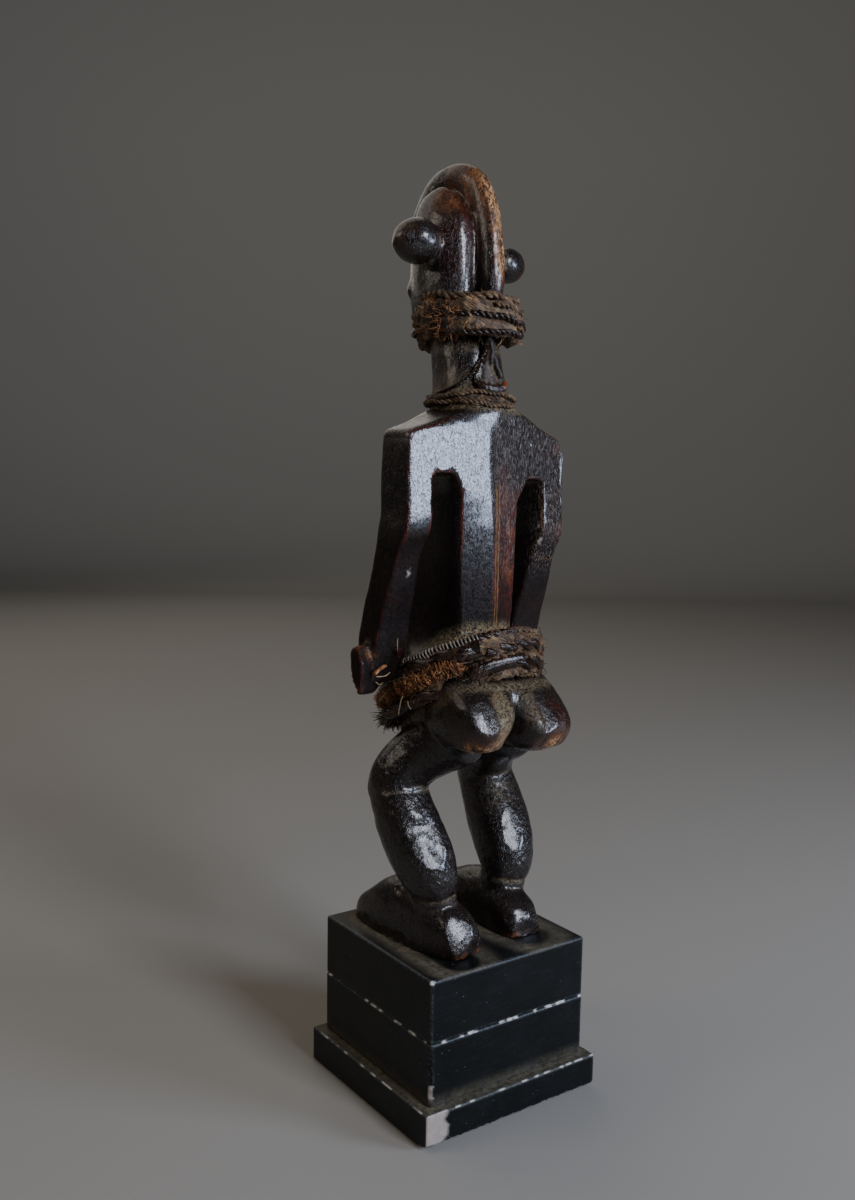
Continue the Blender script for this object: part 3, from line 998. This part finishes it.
# The neck band. Several turns of cord over a matted pad of raffia, bound tight below the hair
# and frayed into a tuft at the figure's left. Dust has settled in every lay.
NECK_Y = -16


def neck_fray(points):
    tuft = np.exp(-((degrees_round(points, NECK_Y) - 14) / 24) ** 2)
    return 0.02 + 0.9 * (tuft * ease(366, 361, points[:, 2]) * ease(342, 347, points[:, 2]))


def sagging(height):
    """A height that drops a little under the chin, by the turn in degrees."""
    return lambda t: height - 7 * max(0, -math.sin(math.radians(t))) ** 4


neck_line = ring_points(NECK_Y, 26.2, sagging(356.4), sway=1.0, seed=3, count=300)
neck_pad = pad("neck_pad", neck_line, 4.6, 10.2, raffia, 1.8, 31, neck_fray)
top_line = ring_points(NECK_Y, 27.2, sagging(368.5), sway=1.2, seed=5)
neck_parts = [neck_pad, cord(top_line, raffia, lay=9, spread=1.1, radius=1.25, looped=True)]
for out, height, climb, zero, start, stop, sway, seed, material, radius in (
        (31.6, 358, -0.035, 40, 38, 330, 0.9, 2, bark_strip, 1.0),
        (31.0, 347.5, 0.03, 40, 42, 300, 0.9, 1, bark_strip, 1.0),
        (30.6, 363.5, -0.02, 60, 75, 352, 1.4, 7, raffia, 0.95),
        (30.2, 352.5, 0, 0, 110, 345, 1.6, 8, raffia, 1.0)):
    line = ring_points(NECK_Y, out, lambda t: height + climb * (t - zero), start, stop, sway, seed)
    neck_parts.append(cord(line, material, lay=8, spread=0.9, radius=radius))
neck_parts.append(fringe(neck_pad, "tuft", rust_fibre, 0.30, 3.5, 6, 0.05, 1.25, 4))
neck_parts.append(fringe(neck_pad, "tuft", bark_strip, 0.16, 3.5, 5.5, 0.06, 1.35, 6))
neck_band = joined("neck_band", neck_parts)
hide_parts("neck_cord")
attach(neck_band, "root")

# The neck lace. A thin two-ply cord round the foot of the neck, half buried in dust and old
# grease; a loose turn of it climbs to the amulet at the nape.
LACE_Y = -11.5
lace_parts = [cord(ring_points(LACE_Y, radius, height, sway=sway, seed=seed), raffia, lay=6, spread=0.62,
                   radius=0.72, looped=True)
              for radius, height, sway, seed in ((24.2, 311.4, 1.0, 21), (25.2, 308.8, 1.2, 22))]
CLIMBING = [(24.5, -12, 311), (24.5, -4, 312), (21.5, 3.6, 313.2), (16.5, 6.6, 315), (11.5, 10.2, 315.4),
            (5, 13.4, 314.6), (-3, 14.4, 314.6), (-10, 13, 313.4), (-18, 8, 312.4)]
lace_parts.append(cord(smooth_rows(CLIMBING, 6), raffia, lay=5.5, spread=0.6, radius=0.75))
lace_line = ring_points(LACE_Y, 22.8, 310.6, sway=0.6, seed=4, count=300)
lace_pad = pad("lace_pad", lace_line, 2.0, 3.0, raffia, 1.0, 41, lambda points: np.full(len(points), 0.25))
lace_parts += [lace_pad, fringe(lace_pad, "lace_fuzz", raffia, 1.0, 1.5, 3.2, 0.06, 1.3, 5)]
neck_lace = joined("foot_lace", lace_parts)
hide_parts("neck_lace")
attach(neck_lace, "root")

# The nape amulet. A scrap of hide folded over a lump of resin, tied under the band with a thong;
# its rolled rim is dark and shiny, its hollow is full of beige dust.
RIM = [(5.6, 6, 340), (8.6, 6, 333), (11, 5.8, 327), (12.4, 6.4, 322), (11, 8.4, 318.6), (7.6, 11, 317),
       (2, 12.4, 317.2), (-3, 12.6, 318.8), (-5, 11.8, 321.6)]
RIM_SIZES = (0.9, 1.1, 1.4, 1.8, 2.2, 2.6, 2.8, 2.4, 1.4)
amulet = skinned("hide_amulet", [limb(stations, sides=sides) for sides, stations in (
    (28, [(5, 6, 346, 2.4, 2.6), (5.2, 6.4, 340, 2.6, 3), (5.4, 6.4, 333, 3.4, 3), (5, 6.6, 326, 5.6, 3),
          (3.6, 7.4, 320.5, 7.4, 3.8), (2.8, 8.4, 317.4, 6.2, 3.2)]),
    (18, [(*point, size, size) for point, size in zip(RIM, RIM_SIZES)]),
    (14, [(3.6, 7.8, 345, 1.1, 1.0), (2.4, 8.8, 337, 1.2, 1.1), (0.4, 10, 330, 1.3, 1.2),
          (-2.6, 11, 324, 1.4, 1.3)]),
    (14, [(5.6, 9, 344, 1.3, 1.2), (5, 10.6, 337, 1.4, 1.3), (5.8, 10.6, 331, 1, 1)]))], 0.0006, 2)
place = to_figure(read(amulet))
wrinkle = 0.5 * bumps(place * np.array([1.6, 1, 0.7]), 2.6, 71) + 0.35 * bumps(place, 1.3, 72)
write_points(amulet, to_world(place + (read(amulet, "normals") @ turn) * wrinkle[:, None]))
lift = read(amulet) - averaged(read(amulet), read(amulet, "edges"), 12)
high = (lift * read(amulet, "normals")).sum(1) * 1000
pocket = spots((5, 10.5, 326.5, 4, 1)) * ease(0.2, -0.2, high)
store(amulet, dust=np.clip(0.5 * ease(0.1, -0.35, high) + 0.8 * pocket, 0, 1),
      worn=spots((-4, 13, 321, 3, 1)), rolled=ease(3.4, 2.2, near_line(place, RIM)))

# Dried hide and resin: dark and slick on the rolls, chalky where dust lies in the folds
hide, tree = new_material("resin_soaked_hide")
where = add(tree, "TexCoord", give="Object")
worn, dust, rolled = (add(tree, "Attribute", attribute_name=name, give="Fac")
                      for name in ("worn", "dust", "rolled"))
chalk = add(tree, "ValToRGB", add(tree, "TexNoise", where, 520, 5, 0.7), stops=[(0.34, 0.2), (0.58, 1.0)])
powder = add(tree, "Math", dust, chalk, operation="MULTIPLY")
rubbed = add(tree, "Math", worn, 0.8, operation="MULTIPLY")
base = add(tree, "ValToRGB", add(tree, "TexNoise", where, 300, 4, 0.6),
           stops=[(0.35, "#0a0605"), (0.55, "#22130c"), (0.75, "#43281a")])
for factor, shade in ((rubbed, "#8b4520"), (powder, "#75664f")):
    base = add(tree, "Mix", factor, base, colour(shade), data_type="RGBA")
dullness = add(tree, "Math", powder, 0.3, 0.62, operation="MULTIPLY_ADD")
dullness = add(tree, "Math", rolled, -0.36, dullness, operation="MULTIPLY_ADD", use_clamp=True)
bumped = add(tree, "Bump", Height=add(tree, "TexNoise", where, 1100, 4, 0.6), Strength=0.6, Distance=0.0004)
add(tree, "OutputMaterial", add(
    tree, "BsdfPrincipled", Base_Color=base, Roughness=dullness, Normal=bumped, IOR=1.55))
amulet.data.materials.append(hide)
THONG = [(5.6, 7.4, 343), (7.4, 7.2, 337.6), (11.4, 4.8, 330), (13.4, 4.4, 325.6), (18.6, -0.6, 319.4),
         (21.4, -8, 316), (22, -16, 314)]
thong = cord(smooth_rows(THONG, 6), bark_strip, lay=5, spread=0.5, radius=0.62)
amulet = joined("nape_bundle", [amulet, thong])
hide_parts("nape_amulet")
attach(amulet, "root")

# The belt, upper half. A thin cord whipped with close comb-like stitches runs over a broad band
# twisted from two flat strips of bark, on a pad of brown raffia that shows at the back.
BELT_Y, BELT_SLOPE, BELT_MIDDLE = -4.5, 0.48, 151


def belt_line(radius, rise, *more, **named):
    """A line round the hips; rise is its height over the belt's middle, or pairs of turn and rise."""
    height = BELT_MIDDLE + rise if np.isscalar(rise) else lambda t: BELT_MIDDLE + np.interp(t, *zip(*rise))
    return ring_points(BELT_Y, radius, height, *more, slope=BELT_SLOPE, **named)


def belt_cords(*rows):
    """Cords round the hips, each a radius, rise, start, stop, sway, seed, count, material and sizes."""
    return [cord(belt_line(*line), material, **sizes) for *line, material, sizes in rows]


def back_fray(points):
    return 0.02 + 0.35 * np.exp(-((degrees_round(points, BELT_Y) - 98) / 22) ** 2)


upper_line = belt_line(41.4, 7.8, sway=0.6, seed=5, count=380)
upper_pad = pad("upper_pad", upper_line, 4.4, 7.4, raffia, 1.2, 51, back_fray)
comb_run = (44.4, 12.3, -95, 56, 0.4, 7, 120)
upper_parts = [upper_pad] + belt_cords(
    (46.2, 6.2, -100, 57, 0.5, 6, 120, bark_strip,
     dict(lay=40, spread=1.5, radius=3.9, flat=0.42, per_turn=50, sides=20, uneven=0.1)),
    (44.6, 4.6, 62, 262, 0.8, 9, 160, bark_strip,
     dict(lay=26, spread=1.5, radius=2.3, flat=0.6, per_turn=32, sides=12)),
    (*comb_run, smoke_black, dict(strands=1, lay=60, spread=0.0, radius=1.6, per_turn=24)),
    (*comb_run, pale_thread,
     dict(strands=1, lay=2.1, spread=2.3, radius=0.5, per_turn=10, sides=5, uneven=0.5, waver=0.9)),
    (43.8, 12.8, 56, 84, 0.2, 8, 60, bark_strip,
     dict(lay=11, spread=0.9, radius=1.7, flat=0.7, per_turn=24, sides=12)),
    (43.4, 12.8, 83, 268, 0.8, 10, 140, raffia, dict(lay=10, spread=1.1, radius=1.25)))
upper_parts.append(fringe(upper_pad, "upper_fuzz", bark_strip, 0.5, 2, 4, 0.06, 1.5, 12))
upper_parts.append(fringe(upper_pad, "upper_rust", rust_fibre, 0.5, 2, 3.6, 0.055, 1.5, 13))


def loose_strand(points, material, radius, uneven=0.3):
    return cord(smooth_rows(points, 5), material, strands=1, lay=40, spread=0.0, radius=radius, per_turn=10,
                sides=7, uneven=uneven)


# A tuft of red fibre and a pale straw are tucked in beside the left elbow
red_fibre = fibre_material("dyed_red_fibre", "#1c0606", "#4a1010", "#7d2018", 0.0, 0.6)
draw = np.random.default_rng(44)
for k in range(16):
    lean = draw.uniform(-2.6, 2.6, 3)
    tuft = [(47.5, -7, 163), np.array([49.4, -6.6, 166.5]) + 0.5 * lean,
            np.array([50, -6.2, 169]) + lean * np.array([1, 1, 0.6])]
    upper_parts.append(loose_strand(tuft, red_fibre if k % 4 else raffia, 0.32))
upper_parts.append(loose_strand([(49, -7, 164), (49.8, -6.6, 169.5), (50.3, -6.4, 176)], straw, 0.34))
belt_upper = joined("upper_belt", upper_parts)
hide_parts("belt_upper")
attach(belt_upper, "root")


# The belt, lower half. A roll of rust-brown fibre, whipped with thread and cut off at its end on
# the figure's left, over a strap twisted from shiny bark; dark fibre and straws hang below it.
def left_fray(points):
    below = ease(2, -6, points[:, 2] - 143 - BELT_SLOPE * points[:, 1])
    at = degrees_round(points, BELT_Y)
    return 0.05 + 0.95 * np.exp(-((at + 22) / 24) ** 2) * below + 0.2 * np.exp(-((at - 58) / 14) ** 2)


cut_fibre = fibre_material("fresh_cut_fibre", "#6a3f1e", "#b5763c", "#dba468", 0.0, 0.6)
PAD_RISE = [(0, -8.6), (44, -8.6), (60, -5.6), (275, -5.6), (310, -8.6), (360, -8.6)]
STRAP_RISE = [(-90, -9), (-45, -13), (21, -12.5), (38, -13), (50, -8.5), (57, -6.4), (65, -5.6), (75, -4.6),
              (100, -4.4)]
FOLD_RISE = [(50, -8.6), (57, -7.2), (64, -6.2), (75, -5), (86, -4.2), (94, -4)]
ROLL_RISE = [(-42, -0.8), (-11, -1.6), (12, -1.2), (29, 0.2), (44, 0.6)]
lower_line = belt_line(41.2, PAD_RISE, sway=0.6, seed=15, count=380)
lower_pad = pad("lower_pad", lower_line, 4.2, 6.6, raffia, 1.2, 61, left_fray)
roll_run = (45.6, ROLL_RISE, -42, 43, 0.3, 17, 100)
*straps, roll_core = belt_cords(
    (44.6, STRAP_RISE, -90, 56, 0.2, 16, 140, bark_strip,
     dict(lay=38, spread=1.5, radius=2.9, flat=0.55, per_turn=44, sides=14, uneven=0.12)),
    (46.2, FOLD_RISE, 51, 93, 0, 0, 60, bark_strip,
     dict(strands=1, lay=200, spread=0, radius=3.9, flat=0.5, per_turn=60, sides=20, uneven=0.1)),
    (44.4, -5.0, 100, 272, 0.8, 26, 140, bark_strip,
     dict(lay=26, spread=1.5, radius=2.2, flat=0.6, per_turn=32, sides=12)),
    (*roll_run, smoke_black, dict(strands=1, lay=60, spread=0.0, radius=3.9, per_turn=24, sides=16)))
store(roll_core, fray=np.ones(len(roll_core.data.vertices)))
lower_parts = [lower_pad, *straps, roll_core,
               fringe(roll_core, "roll_fuzz", rust_fibre, 0.8, 2.2, 3.6, 0.085, 1.45, 24)]
lower_parts += belt_cords(
    (*roll_run, rust_fibre,
     dict(strands=1, lay=1.45, spread=4.2, radius=0.4, per_turn=14, sides=5, uneven=1.2, waver=3.4)),
    (*roll_run, rust_fibre,
     dict(strands=1, lay=2.9, spread=4.6, radius=0.34, per_turn=26, sides=5, uneven=1.2, waver=5.0)),
    (45.8, -0.6, -43.6, -41.8, 0, 0, 3, cut_fibre,
     dict(strands=1, lay=60, spread=0, radius=2.7, per_turn=3, sides=12)),
    (44.0, -0.6, 58, 272, 1.0, 18, 180, raffia, dict(lay=10, spread=1.1, radius=1.3)),
    (43.2, -10.4, 62, 268, 1.0, 19, 180, raffia, dict(lay=10, spread=1.0, radius=1.2)))
lower_parts.append(fringe(lower_pad, "lower_fuzz", bark_strip, 0.45, 4, 8, 0.055, 1.0, 14))
lower_parts.append(fringe(lower_pad, "lower_rust", rust_fibre, 0.4, 2.5, 5, 0.055, 1.35, 15))
for points, material, *sizes in (
        ([(48.6, -1.4, 143), (49.8, -2, 138), (49.4, -3.4, 132)], straw, 0.42),
        ([(48, 2.4, 140.6), (48.4, 4, 138), (47.8, 5.6, 136.4)], straw, 0.3),
        ([(49, -12, 146), (50.2, -16, 141), (50, -20, 137)], straw, 0.3),
        ([(56, -9, 159.6), (61, -7.4, 158.2), (66.5, -5.6, 156)], rust_fibre, 1.2, 0.5),
        ([(55, -6, 156), (60, -4, 154.6), (67, -3, 154.8)], straw, 0.35),
        ([(54, -12, 150), (60, -8, 149), (64, -7, 151)], straw, 0.3)):
    lower_parts.append(loose_strand(points, material, *sizes))

# The strap ends in a flat folded patch at the back, stitched down
patch = skinned("end_patch", [limb([
    (4, 41.4, 165.6, 0.8, 2), (3, 41.8, 165.2, 1.4, 2.9), (-4, 42, 164.6, 1.4, 3.0),
    (-11, 41, 163.8, 1.4, 2.9), (-12, 40.6, 163.6, 0.8, 2)], sides=20, squareness=5)], 0.0005, 1)
patch_z = to_figure(read(patch))[:, 2]
store(patch, dust=0 * patch_z, rolled=1 + 0 * patch_z, worn=0.6 * ease(162.6, 161.4, patch_z))
patch.data.materials.append(hide)
lower_parts.append(patch)
belt_lower = joined("lower_belt", lower_parts)
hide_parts("belt_lower")
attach(belt_lower, "root")


# The plinth. Two boards glued one on the other over a wider base plate, filled, rounded at the
# edges and painted blue-black. Knocks have chipped the edges and laid the filler bare.
def board(name, half, bottom, top, rounding, step=0.0011):
    """A closed board of even small faces with rounded edges."""
    size = np.array([half, half, (top - bottom) / 2])
    points, faces = [], []
    for axis in range(3):
        u, v = (axis + 1) % 3, (axis + 2) % 3
        nu, nv = (max(int(round(2 * size[k] / step)), 2) for k in (u, v))
        for sign in (1, -1):
            start = len(points)
            for i in range(nu + 1):
                for j in range(nv + 1):
                    p = np.zeros(3)
                    p[[axis, u, v]] = sign, 2 * i / nu - 1, 2 * j / nv - 1
                    points.append(p * size)
            for i in range(nu):
                for j in range(nv):
                    a = start + i * (nv + 1) + j
                    faces.append((a, a + nv + 1, a + nv + 2, a + 1)[::sign])
    points = np.array(points)
    inner = np.clip(points, rounding - size, size - rounding)
    away = points - inner
    length = np.linalg.norm(away, axis=1)[:, None]
    points = np.where(length > 1e-9, inner + away / np.maximum(length, 1e-9) * rounding, points)
    made = mesh_object(name, points + np.array([0, 0, (top + bottom) / 2]), faces)
    grid = bmesh.new()
    grid.from_mesh(made.data)
    bmesh.ops.remove_doubles(grid, verts=grid.verts, dist=1e-6)
    grid.to_mesh(made.data)
    grid.free()
    made.data.shade_smooth()
    return made


def chip(points, centre, away, depth, ragged, seed):
    """Knocks a flat ragged flake off the points that stand above a plane; gives how bare each is."""
    away = np.array(away, float) / np.linalg.norm(away)
    rough = bumps(points * 1000, 2.2, seed) + 0.5 * bumps(points * 1000, 0.9, seed + 1)
    over = np.clip((points - np.array(centre)) @ away + ragged * rough + depth, 0, None)
    points -= over[:, None] * away
    return ease(0, 0.0003, over)


# Blue-black paint: brushed, half gloss, rubbed grey on the edges, pale filler in the chips
paint, tree = new_material("rubbed_black_paint")
where = add(tree, "TexCoord", give="Object")
rub, dust, bare, white = (add(tree, "Attribute", attribute_name=name, give="Fac")
                          for name in ("rub", "dust", "bare", "white"))
fields = {}
for name, scale, detail, roughness in (
        ("clouds", 34, 5, 0.6), ("specks", 1400, 2, 0.6), ("scuff", 700, 4, 0.7), ("flecks", 620, 2, 0.5),
        ("powder", 300, 6, 0.7), ("filler", 500, 4, 0.6)):
    fields[name] = add(tree, "TexNoise", where, scale, detail, roughness)
brush = add(tree, "TexNoise", add(tree, "Mapping", where, Scale=(1, 1, 7)), 120, 4, 0.6)
scuff = add(tree, "ValToRGB", fields["scuff"], stops=[(0.4, 0.1), (0.62, 1.0)])
rub = add(tree, "Math", rub, 0.36, operation="MULTIPLY")
scuff = add(tree, "Math", rub, scuff, operation="MULTIPLY")
powder = add(tree, "ValToRGB", fields["powder"], stops=[(0.3, 0.15), (0.62, 0.9)])
powder = add(tree, "Math", dust, powder, operation="MULTIPLY")
base = add(tree, "ValToRGB", fields["clouds"], stops=[(0.3, "#050708"), (0.55, "#080b0c"), (0.75, "#0c1112")])
for factor, shade in (
        (add(tree, "ValToRGB", brush, stops=[(0.5, 0.0), (0.75, 0.35)]), colour("#1b2225")),
        (scuff, colour("#6a7377")),
        (add(tree, "ValToRGB", fields["flecks"], stops=[(0.735, 0.0), (0.76, 0.5)]), colour("#a9adae")),
        (powder, add(tree, "ValToRGB", fields["specks"], stops=[(0.0, "#4a453a"), (1.0, "#857c68")])),
        (bare, add(tree, "ValToRGB", fields["filler"], stops=[(0.0, "#8d8079"), (1.0, "#b5aaa2")])),
        (white, colour("#d8d6d0"))):
    base = add(tree, "Mix", factor, base, shade, data_type="RGBA")
dullness = add(tree, "ValToRGB", fields["clouds"], stops=[(0.3, 0.36), (0.7, 0.48)])
chalky = add(tree, "Math", powder, bare, operation="MAXIMUM")
dullness = add(tree, "Math", chalky, 0.45, dullness, operation="MULTIPLY_ADD", use_clamp=True)
height = add(tree, "Math", fields["specks"], 0.3, operation="MULTIPLY")
height = add(tree, "Math", brush, 0.5, height, operation="MULTIPLY_ADD")
bumped = add(tree, "Bump", Height=height, Strength=0.35, Distance=0.0003)
add(tree, "OutputMaterial", add(
    tree, "BsdfPrincipled", Base_Color=base, Roughness=dullness, Normal=bumped, IOR=1.36))


def finish_board(thing, points, node, **marks):
    """Keeps a board's moved points and its wear and makes it stand for its node."""
    write_points(thing, points)
    lift = points - averaged(points, read(thing, "edges"), 8)
    high = (lift * read(thing, "normals")).sum(1) * 1000
    store(thing, rub=ease(0.1, 0.5, high), **marks)
    thing.data.materials.append(paint)
    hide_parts(node)
    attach(thing, "root")


def seam_chips(mm, seam):
    """Short white chips along the joint line of two boards, from points in millimetres."""
    gate = ease(0.05, 0.35, bumps(mm * np.array([1, 1, 0]) + 7, 3.1, 81))
    reach = 0.35 + 0.35 * bumps(mm, 2.0, 82)
    return gate * ease(reach + 0.25, reach, np.abs(mm[:, 2] - seam))


BLOCK_HALF, BASE_HALF, GLUE = 0.055, 0.061, 57.0
upper_board = board("upper_board", BLOCK_HALF, 0.0571, 0.093, 0.0014)
points = read(upper_board)
bare = chip(points, (0.055, 0.055, 0.093), (1, 1, 1.2), 0.0016, 0.0004, 91)
mm = points * 1000
feet = np.minimum(near_line(mm, [(27, 42, 93), (24, -50, 93)]),
                  near_line(mm, [(-29, 36, 93), (-20, -52, 93)]))
patchy = 0.45 + 0.55 * ease(-0.8, 0.5, bumps(mm, 13, 92))
foot_dust = 1.2 * patchy * ease(27, 18, feet) * ease(10, 14, feet) * ease(91.5, 92.5, mm[:, 2])
finish_board(upper_board, points, "plinth_upper", bare=0 * bare, dust=foot_dust,
             white=np.maximum(seam_chips(mm, GLUE), 0.9 * bare))

lower_board = board("lower_board", BLOCK_HALF, 0.0211, 0.0569, 0.0011)
points = read(lower_board)
bare = chip(points, (0.055, 0.055, 0.030), (1, 1, 0), 0.0013, 0.0005, 93)
mm = points * 1000
finish_board(lower_board, points, "plinth_lower", bare=bare * ease(4.5, 3.0, np.abs(mm[:, 2] - 29.5)),
             white=seam_chips(mm, GLUE), dust=0.5 * ease(30, 21.5, mm[:, 2]))

base_plate = board("base_plate", BASE_HALF, 0.0, 0.0209, 0.0013)
points = read(base_plate)
mm = points * 1000
corner = np.hypot(mm[:, 0] - 61, 0.5 * (mm[:, 2] - 11)) + 2.5 * bumps(mm, 4, 95) + bumps(mm, 1.5, 96)
corner = ease(15, 12, corner) * ease(60.2, 60.7, mm[:, 1]) * ease(0.5, 1.2, mm[:, 2])
points[:, 1] -= 0.0004 * corner
chip(points, (0.034, 0.061, 0.0), (0, 0.25, -1), 0.0036, 0.0007, 97)
mm = points * 1000
outermost = np.maximum(np.abs(mm[:, 0]), np.abs(mm[:, 1]))
finish_board(base_plate, points, "plinth_base", bare=corner,
             white=0.8 * (seam_chips(mm, 20.6) * ease(60.0, 60.6, outermost)),
             dust=ease(19.5, 20.5, mm[:, 2]) * ease(63.5, 56, outermost))

size = {"cad": [list(cad_low), list(cad_high)], "visual": [list(v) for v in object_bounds()]}
